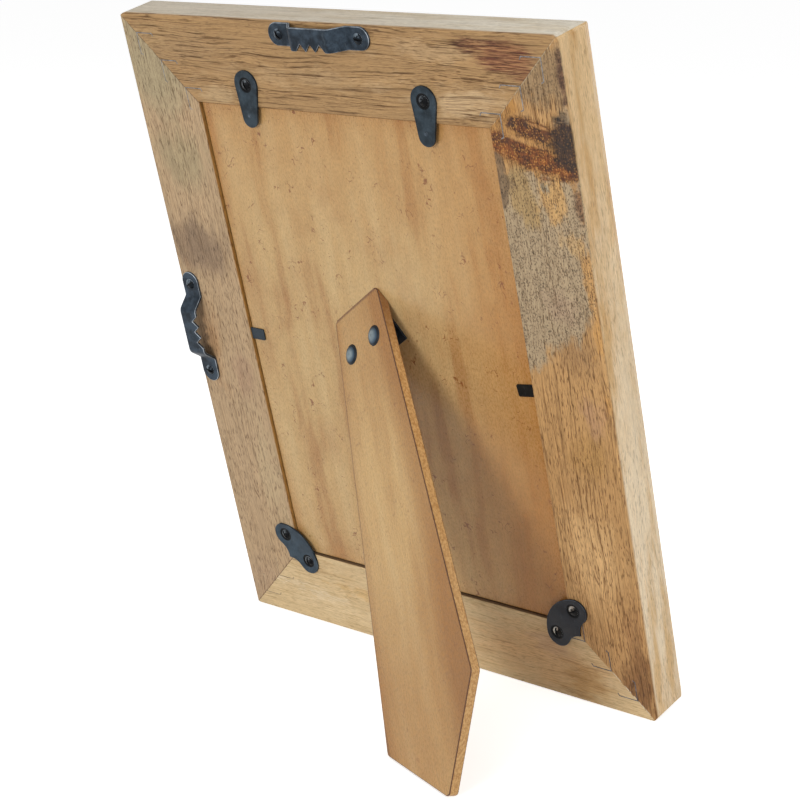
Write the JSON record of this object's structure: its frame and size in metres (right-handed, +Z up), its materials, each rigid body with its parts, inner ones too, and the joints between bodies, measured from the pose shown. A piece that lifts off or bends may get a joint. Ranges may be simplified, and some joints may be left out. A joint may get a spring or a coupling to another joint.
{
  "type": "easel back photo frame",
  "caption": "Mitred wooden photo frame with a rebated back board, a hinged easel leg, turn buttons, corner plates and sawtooth hangers.",
  "frame": {"origin": "middle of the line on which the bottom rail's rear edge rests on the floor", "axes": "+Z up, the front faces -Y and the back with the easel leg faces +Y, +X to the left as seen from behind"},
  "size_m": [0.192, 0.1106, 0.239],
  "materials": {
    "rail_wood": "lightly waxed hardwood with open grain",
    "fibreboard": "stained fibreboard",
    "nail_steel": "bare steel strip",
    "black_steel": "blue-black steel",
    "rivet_steel": "blued steel",
    "glass": "clear float glass",
    "card": "plain blank card"
  },
  "bodies": {
    "frame": {"top_rail": "rail_wood", "bottom_rail": "rail_wood", "left_rail": "rail_wood", "right_rail": "rail_wood", "corner_nails_top_left": "nail_steel", "corner_nails_top_right": "nail_steel", "corner_nails_bottom_left": "nail_steel", "corner_nails_bottom_right": "nail_steel", "backing_board": "fibreboard", "flex_point_left": "black_steel", "flex_point_right": "black_steel", "hinge_board_leaf": "black_steel", "hinge_pin": "black_steel", "board_rivets": "black_steel", "turn_button_screws": "black_steel", "corner_plate_left": "black_steel", "corner_plate_right": "black_steel", "corner_plate_screws": "black_steel", "top_hanger": "black_steel", "side_hanger": "black_steel", "hanger_screws": "black_steel", "glass_pane": "glass", "photo_insert": "card"},
    "leg": {"easel_leg": "fibreboard", "hinge_leg_leaf": "black_steel", "leg_rivets": "rivet_steel"},
    "left_button": {"turn_button_left": "black_steel"},
    "right_button": {"turn_button_right": "black_steel"}
  },
  "joints": [
    {"name": "leg_fold", "type": "hinge", "parent": "frame", "child": "leg", "pos_m": [0.00245, 0.03251, 0.1278], "axis": [-0.808, 0.1415, 0.5719], "range_deg": [0, 30.4]},
    {"name": "left_button_turn", "type": "hinge", "parent": "frame", "child": "left_button", "pos_m": [0.0388, 0.05436, 0.21315], "axis": [0, 0.9707, -0.2402], "continuous": true},
    {"name": "right_button_turn", "type": "hinge", "parent": "frame", "child": "right_button", "pos_m": [-0.0402, 0.05421, 0.21257], "axis": [0, 0.9707, -0.2402], "continuous": true}
  ]
}
